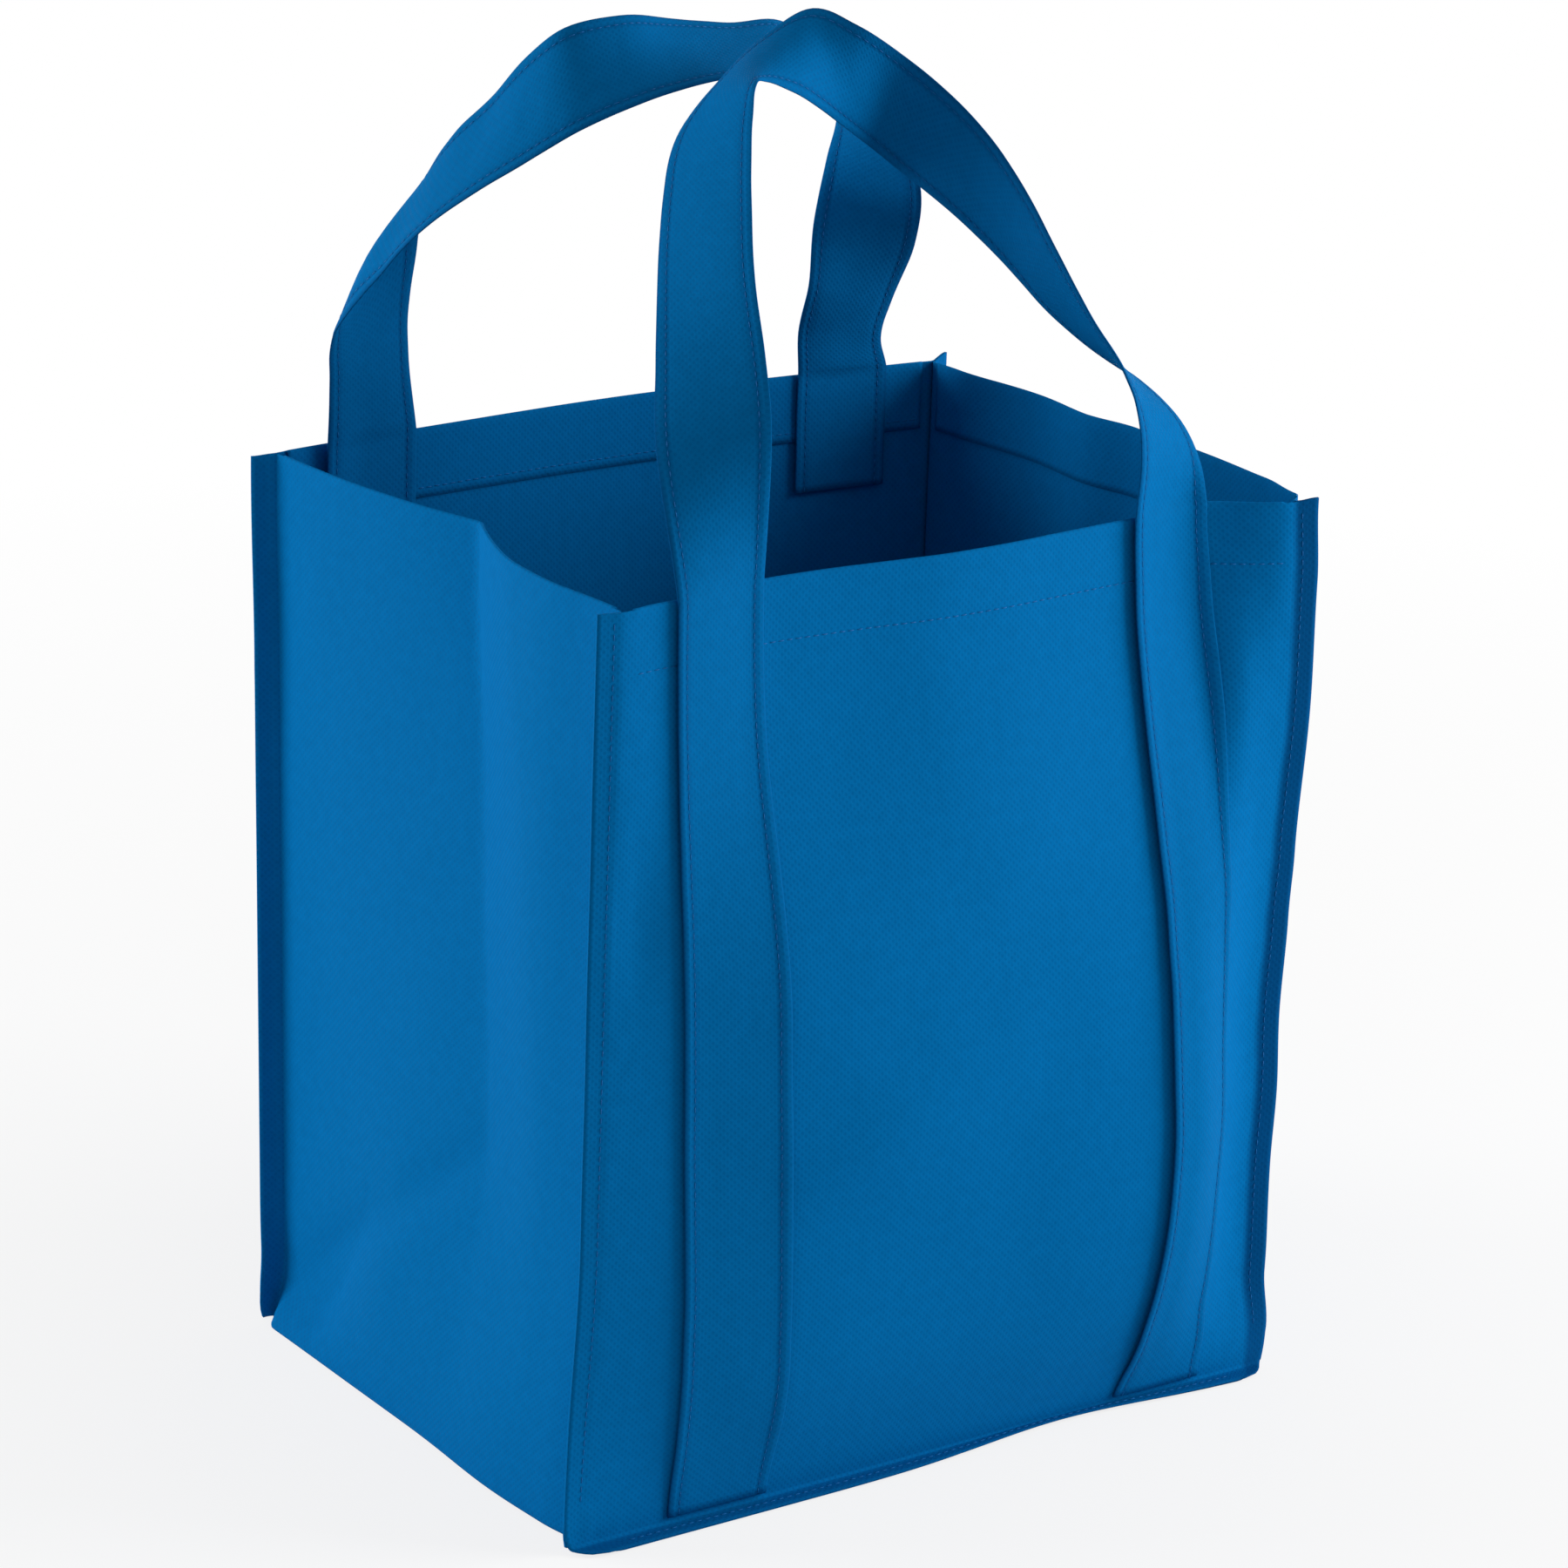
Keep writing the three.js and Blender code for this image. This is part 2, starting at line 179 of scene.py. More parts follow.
def left_shift(y, z):
    line = between(FOLD_LINE, z)
    if y > line:
        fold = clamp01((HALF_D - y) / (HALF_D - line)) ** 2.3
    else:
        fold = clamp01((y - line + 46) / 46) ** 1.5
    inward = between(FOLD_DEPTH, z) * fold
    # A full strip in front of the fold, and a crease that slants across the lower wall.
    inward -= 3.0 * bump(y, -66, 24) * smooth(z / 200)
    across_corner = (y + 29) * 0.584 + (z - 114) * 0.812
    inward += 1.7 * bump(across_corner, 0, 9) * smooth((y + 45) / 40) * smooth((HALF_D - y) / 40)
    free = loose(y, HALF_D, z)
    return inward + free * (1.2 * crumple(y, z, 21.3, 70) + 0.35 * crumple(y, z, 24.1, 24))


# The right side's rim bulges out, most of all towards the front.
RIGHT_RIM = [
    (-109, 0), (-101, 7), (-80, 10.5), (-50, 11), (-6, 10), (20, 5), (47, 6.5), (93, 1), (109, 0),
]


def right_shift(y, z):
    share = min(1.0, abs(y) / HALF_D)
    full = SIDE_BELLY * (1 - share**2) * belly(z)
    outward = mix(full, between(RIGHT_RIM, y), near_rim(z))
    free = loose(y, HALF_D, z)
    return outward + free * (1.4 * crumple(y, z, 31.3, 75) + 0.35 * crumple(y, z, 34.1, 24))


# Seam flanges, by hand (-1 left, 1 right) and facing (-1 front, 1 back): how far each pinched seam
# leans out of its panel's plane in degrees, how much painted shade darkens its colour, standing in
# for the shade on the right flanges that turn away from the lights, and how far its outer corner
# stands up at the rim.
FLANGE_LEAN = {(-1, -1): -11, (1, -1): 14, (-1, 1): 22, (1, 1): 16}
SEAM_PAINTED_SHADE = {(-1, -1): 0.0, (1, -1): 1.0, (-1, 1): 0.0, (1, 1): 0.5}
FLANGE_PEAK = {(-1, -1): 0.0, (1, -1): 1.0, (-1, 1): -1.0, (1, 1): 2.0}
LEAN_START = 3.0
LAYERS_CLOSE = 0.42


def flange_point(hand, facing, reach, layer, z):
    """A flange point by its reach out from the seam. Its two layers close up beyond the seam."""
    past_seam = smooth(reach / LEAN_START)
    lean = FLANGE_LEAN[hand, facing] + 6 * crumple(z, hand, facing * 3.1, 60)
    turn = math.radians(lean) * past_seam * smooth((z - 4) / 50)
    layer *= 1 - LAYERS_CLOSE * past_seam
    x = HALF_W + reach * math.cos(turn) - layer * math.sin(turn)
    y = HALF_D + reach * math.sin(turn) + layer * math.cos(turn)
    peak = FLANGE_PEAK[hand, facing] * smooth(reach / FLANGE) * smooth((z - 280) / 50)
    return Vector((hand * x, facing * y, z + peak))


# How high each front bottom corner starts to round off and how much width it loses, and the same
# for the back corners, which keep a stub of the flange at the base fold.
LEFT_CORNER = (9.0, 13.0)
RIGHT_CORNER = (15.0, 17.0)
BACK_CORNER = 18.0
BACK_STUB = 3.0


def quarter_round(t):
    """How far a quarter circle has dropped, from 0 at its start to 1 at its end."""
    return 1 - math.sqrt(1 - t * t)


def outline(run, hand, facing):
    """Half the width of a panel's cut, rounded off at its bottom corners."""
    if facing < 0:
        start, much = LEFT_CORNER if hand < 0 else RIGHT_CORNER
        down = clamp01((start - run) / (start + BASE_FLANGE))
        return HALF_W + FLANGE - much * quarter_round(down)
    above, below = clamp01(1 - run / BACK_CORNER), clamp01(-run / BASE_FLANGE)
    rounded = FLANGE - (FLANGE - BACK_STUB) * quarter_round(above)
    return HALF_W + rounded - (BASE_FLANGE + BACK_STUB) * quarter_round(below)


def tuck(x):
    """Share of the front base flange that shows where the cloth above has pulled it under."""
    return 1 - 0.6 * bump(x, 55, 48)


# How far the front right seam is drawn in, by height.
DRAWN_IN = [
    (0, -2), (15, 0), (40, 3.8), (82, 4.6), (110, 3.8), (141, 5),
    (176, 3.9), (200, 2.8), (259, 0.2), (300, 1), (330, 3),
]


def settle(p):
    """The leans of the whole bag, shared by every layer so that the seams stay together."""
    x, y, z = p
    x -= between(DRAWN_IN, z) * smooth((x - 30) / 111) * smooth((30 - y) / 138)
    # The foot of the left side is pushed out, to a greater height towards the front.
    left = smooth((-x - 80) / 61)
    foot_height = mix(110, 18, smooth((y - 20) / 60))
    foot = 7.0 + 2.5 * bump(y, -53, 36) - 2.5 * smooth((-y - 85) / 25)
    x -= foot * left * (1 - smooth(z / foot_height)) * smooth((110 - y) / 10)
    # The back left seam leans in below and out at the rim, and the front's foot is drawn under.
    leaning = 4.5 * clamp01(1 - z / 250) * smooth((z + 10) / 40) - 2.0 * smooth((z - 240) / 90)
    x += leaning * left * smooth((y - 10) / 98)
    y += 2.0 * (1 - smooth(z / 40)) * smooth((-y - 60) / 48) * bump(x, 60, 50)
    return Vector((x, y, z))


FOOT_RUN = FOOT_FOLD * math.pi / 4
RIM_RUN = HEIGHT - RIM_FOLD - FOOT_LEVEL - FOOT_FOLD + FOOT_RUN
HEM_END = RIM_RUN + RIM_FOLD * math.pi + HEM


def folded_foot(run):
    """(outwards, up) of a wall point by its run above the fold to the base flange."""
    if run > FOOT_RUN:
        return 0.0, FOOT_FOLD + run - FOOT_RUN
    if run < -FOOT_RUN:
        return FOOT_FOLD - FOOT_RUN - run, 0.0
    turn = (FOOT_RUN - run) / FOOT_FOLD
    return FOOT_FOLD * (1 - math.cos(turn)), FOOT_FOLD * (1 - math.sin(turn))


def folded_rim(run):
    """(inwards, up) of a hem point by its run past the start of the rim fold."""
    if run <= 0:
        return 0.0, run
    if run < RIM_FOLD * math.pi:
        turn = run / RIM_FOLD
        return RIM_FOLD * (1 - math.cos(turn)), RIM_FOLD * math.sin(turn)
    return 2 * RIM_FOLD, RIM_FOLD * math.pi - run


# The part of a panel's cut, each side of its middle, that its outline leaves as it is.
EVEN_HALF = 125.0


def panel_point(facing, shift, a, run):
    """A panel's cut, a across and run up from the base fold, carried to where it hangs."""
    inward, over = folded_rim(run - RIM_RUN)
    out, up = folded_foot(run)
    z = FOOT_LEVEL + up if run <= RIM_RUN else HEIGHT - RIM_FOLD + over
    x = a
    if abs(a) > EVEN_HALF:
        edge_band = HALF_W + FLANGE - EVEN_HALF
        drawn = (abs(a) - EVEN_HALF) * (outline(run, a, facing) - EVEN_HALF) / edge_band
        x = math.copysign(EVEN_HALF + drawn, a)
    if abs(x) > HALF_W and run > FOOT_RUN:
        hand = 1 if x > 0 else -1
        return settle(flange_point(hand, facing, abs(x) - HALF_W, LAYER, z))
    along, moved = shift(x, z)
    if facing < 0:
        out *= tuck(x)
    return settle(Vector((x + along, facing * (HALF_D + LAYER - moved - inward + out), z)))


def front_point(a, run):
    return panel_point(-1, front_shift, a, run)


def back_point(a, run):
    return panel_point(1, back_shift, a, run)


BASE_LEVEL = 0.3
SIDE_START = HALF_W - SIDE_BEND
BEND_RUN = SIDE_BEND * math.pi / 2
SIDE_LEVEL = BASE_LEVEL + SIDE_BEND
SIDE_RIM = SIDE_START + BEND_RUN + HEIGHT - RIM_FOLD - SIDE_LEVEL
SIDE_END = SIDE_RIM + RIM_FOLD * math.pi + HEM
FLAT_HALF = HALF_D - LAYER - SIDE_FOLD
FOLD_RUN = SIDE_FOLD * math.pi / 2
CROSS_HALF = FLAT_HALF + FOLD_RUN + FLANGE - SIDE_FOLD
# The base flanges round off over this run, and keep this share at the corners to close them.
TIP_RUN = 9.0
CORNER_TAIL = 0.35


def gusset_point(a, s):
    """The gusset's cut, a across and s along from the middle of the base."""
    hand = 1 if s > 0 else -1
    facing = 1 if a > 0 else -1
    run = abs(s)
    over_edge = abs(a) - FLAT_HALF
    if run <= SIDE_START:
        tip = math.sqrt(1 - clamp01((run - SIDE_START + TIP_RUN) / TIP_RUN) ** 2)
        if facing < 0:
            tip *= tuck(s)
        y = a if over_edge <= 0 else facing * (FLAT_HALF + over_edge * max(CORNER_TAIL, tip))
        return settle(Vector((s, y, BASE_LEVEL)))
    if run < SIDE_START + BEND_RUN:
        turn = (run - SIDE_START) / SIDE_BEND
        y = a if over_edge <= 0 else facing * (FLAT_HALF + over_edge * CORNER_TAIL)
        x = SIDE_START + SIDE_BEND * math.sin(turn)
        return settle(Vector((hand * x, y, BASE_LEVEL + SIDE_BEND * (1 - math.cos(turn)))))
    inward, over = folded_rim(run - SIDE_RIM)
    if run > SIDE_RIM:
        z = HEIGHT - RIM_FOLD + over
    else:
        z = SIDE_LEVEL + run - SIDE_START - BEND_RUN
    if over_edge > FOLD_RUN:
        kept = outline(z, hand, facing) - HALF_W
        reach = (SIDE_FOLD + over_edge - FOLD_RUN) * kept / FLANGE
        return settle(flange_point(hand, facing, reach, -LAYER, z))
    x, y = HALF_W, abs(a)
    if over_edge > 0:
        turn = over_edge / SIDE_FOLD
        x += SIDE_FOLD * (1 - math.cos(turn))
        y = FLAT_HALF + SIDE_FOLD * math.sin(turn)
    moved = left_shift(facing * y, z) if hand < 0 else right_shift(facing * y, z)
    return settle(Vector((hand * (x - inward) + moved, facing * y, z)))


# Both edges of each free arch, from the left end to the right. The front strap's first edge starts
# on the left and, after a half turn in the strap, comes down on the left of its right end. The back
# strap's first edge is the outer one at both ends. A row lies askew where the strap is bent over or
# turned, as a flat strip must.
FRONT_ARCH = [
    ((-113, -83, 375), (-82, -104, 382)), ((-101, -64, 396), (-78, -93, 404)),
    ((-89, -46, 417), (-74, -80, 426)), ((-75, -27, 440), (-64, -62, 451)),
    ((-58, -9, 457), (-54, -47, 469)), ((-37, -1, 472), (-46, -37, 479)),
    ((-14, 5, 485), (-34, -27, 477)), ((3, 1, 494), (-17, -22, 470)),
    ((12, -13, 490), (8, -14, 455)), ((29, -20, 478), (35, -5, 438)),
    ((44, -34, 462), (50, -16, 424)), ((54, -49, 443), (64, -29, 408)),
    ((59, -66, 421), (74, -43, 392)), ((64, -81, 400), (85, -57, 379)),
    ((70, -94, 382), (97, -70, 369)), ((72, -100, 370), (105, -82, 358)),
    ((73, -103, 354), (109, -90, 345)),
]
BACK_ARCH = [
    ((-125, 103, 354), (-88, 111, 354)), ((-127, 100, 366), (-90, 109, 374)),
    ((-128, 96, 373), (-91, 102, 400)), ((-126, 88, 384), (-92, 96, 419)),
    ((-122, 78, 396), (-92, 90, 431)), ((-115, 65, 413), (-88, 81, 445)),
    ((-104, 51, 428), (-81, 70, 458)), ((-90, 36, 442), (-76, 58, 473)),
    ((-75, 25, 454), (-68, 46, 485)), ((-55, 18, 463), (-47, 44, 488)),
    ((-33, 16, 468), (-19, 52, 483)), ((-10, 18, 469), (6, 56, 479)),
    ((12, 21, 468), (31, 60, 477)), ((47, 31, 455), (61, 72, 460)),
    ((78, 47, 431), (77, 87, 434)), ((97, 61, 409), (78, 94, 416)),
    ((107, 77, 385), (72, 92, 394)), ((111, 95, 360), (73, 95, 370)),
    ((114, 105, 343), (77, 106, 349)),
]


def through(points, t):
    """A point on the smooth curve through these points, with t counted in points."""
    k = min(int(t), len(points) - 2)
    w = t - k
    b, c = points[k], points[k + 1]
    a = points[k - 1] if k else b * 2 - c
    d = points[k + 2] if k + 2 < len(points) else c * 2 - b
    p, q, r = (max(1e-4, (n - m).length) ** 0.5 for m, n in ((a, b), (b, c), (c, d)))
    leave = ((b - a) / p - (c - a) / (p + q) + (c - b) / q) * q
    reach = ((c - b) / q - (d - b) / (q + r) + (d - c) / r) * q
    v = 1 - w
    held = b * (v * v * (1 + 2 * w)) + c * (w * w * (1 + 2 * v))
    return held + leave * (v * v * w) - reach * (w * w * v)


# Places across a strap, from its first edge to its second, closest at the edges and the stitching.
ACROSS_STRAP = [
    -19, -18.7, -18, -16.8, -15.2, -13.6, -11, -7.5, -3.7, 0,
    3.7, 7.5, 11, 13.6, 15.2, 16.8, 18, 18.7, 19,
]
STITCH_COLUMNS = (4, len(ACROSS_STRAP) - 5)
MIDDLE = len(ACROSS_STRAP) // 2
ROWS_PER_SPAN = 8
FADE_ROWS = 12


def strap_rows(sewn, levels, arch, turns, facing):
    """Rows of points across a strap, from the bottom of its left sewn end to that of its right one.
    sewn gives the points of the ends at these levels, arch the edges of the free strip between, and
    turns the stations where the strap turns over, with how far it rounds out there."""
    up = [[sewn(-1, z, u) for u in ACROSS_STRAP] for z in levels]
    down = [[sewn(1, z, u) for u in ACROSS_STRAP] for z in reversed(levels)]
    knots = [(row[0], row[-1]) for row in (up[-3], up[-1])]
    knots += [(Vector(p), Vector(q)) for p, q in arch]
    knots += [(row[0], row[-1]) for row in (down[0], down[2])]
    first = [p for p, q in knots]
    second = [q for p, q in knots]
    count = (len(knots) - 3) * ROWS_PER_SPAN
    rows = list(up)
    for k in range(1, count):
        t = 1 + k / ROWS_PER_SPAN
        start, end = through(first, t), through(second, t)
        ahead = through(first, t + 0.02) + through(second, t + 0.02) - start - end
        face = (end - start).cross(ahead).normalized()
        rounding = sum(much * bump(t, at + 2, 1.3) for at, much in turns)
        swell = 0.8 + crumple(k, facing, 41.0, 30) - rounding
        row = []
        for j, u in enumerate(ACROSS_STRAP):
            share = (u + STRAP_HALF) / (2 * STRAP_HALF)
            cup = (1 - (u / STRAP_HALF) ** 2) * swell
            cup += 0.3 * crumple(k * 3.2, u, 43.0 * facing, 15)
            p = start.lerp(end, share) + face * cup
            # Close to a sewn end the strip still has the bend of that end.
            for sewn_row, rows_away in ((up[-1], k), (down[0], count - k)):
                fade = 1 - smooth(rows_away / FADE_ROWS)
                p = p + (sewn_row[j] - sewn_row[0].lerp(sewn_row[-1], share)) * fade
            row.append(p)
        rows.append(row)
    rows.extend(down)
    return rows


def run_at(z):
    return z - FOOT_LEVEL - FOOT_FOLD + FOOT_RUN


def on_front(side, z, u):
    """Outside the front panel, with the strap's edges standing a little off it, and the left edge
    of the right end most."""
    rim, base = FRONT_LEFT if side < 0 else FRONT_RIGHT
    x = mix(base, rim, clamp01(z / HEIGHT)) + u
    p = front_point(x, min(run_at(z), RIM_RUN))
    lip = smooth((abs(u) - 12) / 7)
    if side > 0 and u < 0:
        lip = smooth((-u - 10) / 9) * 1.9
    lip *= smooth((z - STRAP_START) / 30)
    return Vector((p.x, p.y - STRAP_LIFT - lip, p.z))


def on_back(side, z, u):
    """Inside the back panel's hem, with the outer edge of the left end standing off it."""
    x = (BACK_LEFT if side < 0 else BACK_RIGHT) - side * u
    along, moved = back_shift(x, z)
    inside = HALF_D + LAYER - moved - 2 * RIM_FOLD - STRAP_LIFT
    lip = smooth((abs(u) - 12) / 7) * 0.4
    if side < 0 and u < 0:
        lip = smooth((-u - 2) / 17) * 2.5
    return settle(Vector((x + along, inside - lip, z)))


front_levels = steps(STRAP_START, HEIGHT, 3.5)
back_levels = steps(HEIGHT - BACK_SEWN, HEIGHT, 3.0)
front_rows = strap_rows(on_front, front_levels, FRONT_ARCH, [], -1)
back_rows = strap_rows(on_back, back_levels, BACK_ARCH, [(2.8, 6.0)], 1)


# Making the pieces.
def cloth_piece(name, across, along, place, keep, thickness, press_and_shade, fullness=None):
    """A cut of cloth laid out as a grid, each grid point carried to its place, then given its
    thickness. place takes a grid column and row, keep tells which points the cut has, pressed is
    how much its colour is darkened there, partly where layers are sewn flat and partly painted
    shade, and fullness is the share of the thickness."""
    bm = bmesh.new()
    columns, rows = len(across) - 1, len(along) - 1
    bmesh.ops.create_grid(bm, x_segments=columns, y_segments=rows, size=1)
    cut = bm.loops.layers.uv.new("cut")
    press_and_shade_field = bm.verts.layers.float.new("press_and_shade")
    weight = bm.verts.layers.deform.verify()
    spot = {}
    for v in bm.verts:
        spot[v] = (round((v.co.x + 1) / 2 * columns), round((v.co.y + 1) / 2 * rows))
    for face in bm.faces:
        for corner in face.loops:
            column, row = spot[corner.vert]
            corner[cut].uv = (across[column] * MM, along[row] * MM)
        face.smooth = True
    for v, (column, row) in spot.items():
        v.co = place(column, row) * MM
        v[press_and_shade_field] = press_and_shade(across[column], along[row])
        v[weight][0] = fullness(across[column]) if fullness else 1.0
    gone = [v for v, (column, row) in spot.items() if not keep(across[column], along[row])]
    bmesh.ops.delete(bm, geom=gone, context="VERTS")
    mesh = bpy.data.meshes.new(name)
    bm.to_mesh(mesh)
    bm.free()
    piece = bpy.data.objects.new(name, mesh)
    bpy.context.scene.collection.objects.link(piece)
    piece.vertex_groups.new(name="fullness")
    body = piece.modifiers.new("thickness", "SOLIDIFY")
    body.thickness = thickness * MM
    body.offset = 0
    body.use_even_offset = True
    body.vertex_group = "fullness"
    return piece


# Painted shade on a flange: its colour darkens from the seam outwards by that seam's share in the
# table above.
def seam_painted_shade(hand, facing, past):
    return SEAM_PAINTED_SHADE[1 if hand > 0 else -1, 1 if facing > 0 else -1] * smooth((past + 1.5) / 3)


# The grids are finer beside the seams, the foot and the rim.
SEAM_BAND = 9.0
FOOT_BAND = 16.0
RIM_BAND = 28.0


def panel(name, point, facing):
    side, open_half = HALF_W + FLANGE, HALF_W - SEAM_BAND
    across = steps(-side, -open_half, 1.5)[:-1] + steps(-open_half, open_half, 3)
    across += steps(open_half, side, 1.5)[1:]
    along = steps(-BASE_FLANGE, -FOOT_RUN, 1.6)[:-1] + steps(-FOOT_RUN, FOOT_RUN, 0.6)[:-1]
    along += steps(FOOT_RUN, FOOT_BAND, 1.8)[:-1] + steps(FOOT_BAND, RIM_RUN - RIM_BAND, 3)[:-1]
    along += steps(RIM_RUN - RIM_BAND, RIM_RUN, 2)[:-1]
    along += steps(RIM_RUN, RIM_RUN + RIM_FOLD * math.pi, 0.4)[:-1]
    along += steps(RIM_RUN + RIM_FOLD * math.pi, HEM_END, 2.5)
    return cloth_piece(
        name, across, along,
        place=lambda column, row: point(across[column], along[row]),
        keep=lambda a, b: b <= RIM_RUN + 0.5 or abs(a) <= HALF_W - HEM_INSET,
        thickness=CLOTH,
        # Painted shade on the seam flanges, and a darker base flange below the fold.
        press_and_shade=lambda a, b: max(seam_painted_shade(a, facing, abs(a) - HALF_W), 0.6 * smooth(-b / 2)),
    )


def gusset():
    across = steps(-CROSS_HALF, -FLAT_HALF - FOLD_RUN, 1.5)[:-1]
    across += steps(-FLAT_HALF - FOLD_RUN, -FLAT_HALF, 0.5)[:-1]
    across += steps(-FLAT_HALF, -99, 1.5)[:-1] + steps(-99, 0, 3)
    across += [-a for a in reversed(across[:-1])]
    along = steps(0, SIDE_START - 10, 6)[:-1] + steps(SIDE_START - 10, SIDE_START, 1.5)[:-1]
    along += steps(SIDE_START, SIDE_START + BEND_RUN, 0.9)[:-1]
    along += steps(SIDE_START + BEND_RUN, SIDE_RIM - RIM_BAND, 3)[:-1]
    along += steps(SIDE_RIM - RIM_BAND, SIDE_RIM, 2)[:-1]
    along += steps(SIDE_RIM, SIDE_RIM + RIM_FOLD * math.pi, 0.4)[:-1]
    along += steps(SIDE_RIM + RIM_FOLD * math.pi, SIDE_END, 2.5)
    along = [-s for s in reversed(along[1:])] + along
    return cloth_piece(
        "gusset_cloth", across, along,
        place=lambda column, row: gusset_point(across[column], along[row]),
        keep=lambda a, s: abs(s) <= SIDE_RIM + 0.5 or abs(a) <= HALF_D - HEM_INSET,
        thickness=CLOTH,
        # Painted shade on the gusset's seam flanges.
        press_and_shade=lambda a, s: seam_painted_shade(s, a, abs(a) - HALF_D),
    )


def strap_press_and_edge_shade(u):
    """Darker along the stitching, where it is pressed flat, and along both edges, darkest along the
    first edge, which is folded; the edge darkening is painted shade for the shadow line along the
    edge.
    """
    # Painted shade: a dark line along both edges, deepest along the first.
    edge = (0.85 if u < 0 else 0.3) * smooth((abs(u) - 17.4) / 1.2)
    return max(edge, 0.6 * bump(abs(u), STRAP_STITCH, 1.0))


def strap_fullness(u):
    """Thinner along the edges and where the stitching pulls the layers together."""
    edge = mix(0.35, 1, smooth((STRAP_HALF - abs(u)) / 1.2))
    return min(edge, 1 - 0.35 * bump(abs(u), STRAP_STITCH, 0.9))


def strap(name, rows):
    along = [0.0]
    for near, far in zip(rows, rows[1:]):
        along.append(along[-1] + (far[MIDDLE] - near[MIDDLE]).length)
    return cloth_piece(
        name, ACROSS_STRAP, along,
        place=lambda column, row: rows[row][column],
        keep=lambda u, run: True,
        thickness=STRAP_THICK,
        press_and_shade=lambda u, run: strap_press_and_edge_shade(u),
        fullness=strap_fullness,
    )


front_cloth = panel("front_panel_cloth", front_point, -1)
back_cloth = panel("back_panel_cloth", back_point, 1)
gusset_cloth = gusset()
front_strap = strap("front_handle_strap", front_rows)
back_strap = strap("back_handle_strap", back_rows)


# Stitching: rows of short lock stitches of one thread, each a small rounded spindle.
STITCH_PITCH = 3.4
HALF_STITCH = Matrix.Diagonal((1.35, 0.24, 0.18, 1))


def sew(bm, path, faces):
    """Lays stitches along a path of points, on the side that the matching face directions give."""
    left = STITCH_PITCH / 2
    for p, q, face in zip(path, path[1:], faces):
        span = (q - p).length
        if span < 1e-6:
            continue
        tangent = (q - p) / span
        while left <= span:
            aside = face.cross(tangent).normalized()
            up = tangent.cross(aside)
            turn = Matrix((tangent, aside, up)).transposed().to_4x4()
            place = Matrix.Translation((p + tangent * left) * MM) @ turn
            spot = place @ Matrix.Scale(MM, 4) @ HALF_STITCH
            bmesh.ops.create_icosphere(bm, subdivisions=1, radius=1, matrix=spot)
            left += STITCH_PITCH
        left -= span


def sew_on(bm, point, line, side, lift):
    """Stitches along a line of cut positions on a cloth, on the face that side gives, 1 or -1."""
    path, faces = [], []
    for a, b in line:
        p = point(a, b)
        face = (point(a + 0.4, b) - p).cross(point(a, b + 0.4) - p).normalized() * side
        path.append(p + face * lift)
        faces.append(face)
    sew(bm, path, faces)


def thread_piece(name, stitch_all):
    bm = bmesh.new()
    stitch_all(bm)
    for face in bm.faces:
        face.smooth = True
    mesh = bpy.data.meshes.new(name)
    bm.to_mesh(mesh)
    bm.free()
    piece = bpy.data.objects.new(name, mesh)
    bpy.context.scene.collection.objects.link(piece)
    return piece


THREAD_LIFT = 0.06
ON_CLOTH = CLOTH / 2 + THREAD_LIFT
# How far the rows lie from the seam, the base fold and the hem's edge, where the seam rows start
# above the base on a panel and on a side, and how far rows stop from the rim and the corners.
SEAM_LINE = 3.0
BASE_LINE = 4.0
HEM_LINE = 3.5
PANEL_ROW_START = 16.0
SIDE_ROW_START = 12.0
OFF_RIM = 3.0
OFF_CORNER = 6.0
OFF_BASE_CORNER = 13.0


def seam_stitches(bm):
    """Down both sides of each panel's flange and along its base flange."""
    for point, out in ((front_point, 1), (back_point, -1)):
        for hand in (-1, 1):
            up_panel = steps(PANEL_ROW_START, RIM_RUN - OFF_RIM, 2)
            line = [(hand * (HALF_W + SEAM_LINE), run) for run in up_panel]
            sew_on(bm, point, line, out, ON_CLOTH)
        along_base = steps(OFF_BASE_CORNER - HALF_W, HALF_W - OFF_BASE_CORNER, 3)
        line = [(a, -BASE_LINE) for a in along_base]
        sew_on(bm, point, line, out, ON_CLOTH)
    for hand in (-1, 1):
        for facing in (-1, 1):
            a = facing * (FLAT_HALF + FOLD_RUN + SEAM_LINE - SIDE_FOLD)
            up_side = steps(SIDE_START + BEND_RUN + SIDE_ROW_START, SIDE_RIM - OFF_RIM, 2)
            line = [(a, hand * s) for s in up_side]
            sew_on(bm, gusset_point, line, -1, ON_CLOTH)


def hem_stitches(bm):
    """One row round the mouth, seen on the outer layer and on the hem inside."""
    over_panel = steps(OFF_CORNER - HALF_W, HALF_W - OFF_CORNER, 2)
    over_side = steps(OFF_CORNER - HALF_D, HALF_D - OFF_CORNER, 2)
    for point, out in ((front_point, 1), (back_point, -1)):
        for run in (RIM_RUN - HEM + HEM_LINE, HEM_END - HEM_LINE):
            sew_on(bm, point, [(a, run) for a in over_panel], out, ON_CLOTH)
    for hand in (-1, 1):
        for run in (SIDE_RIM - HEM + HEM_LINE, SIDE_END - HEM_LINE):
            sew_on(bm, gusset_point, [(a, hand * run) for a in over_side], -1, ON_CLOTH)


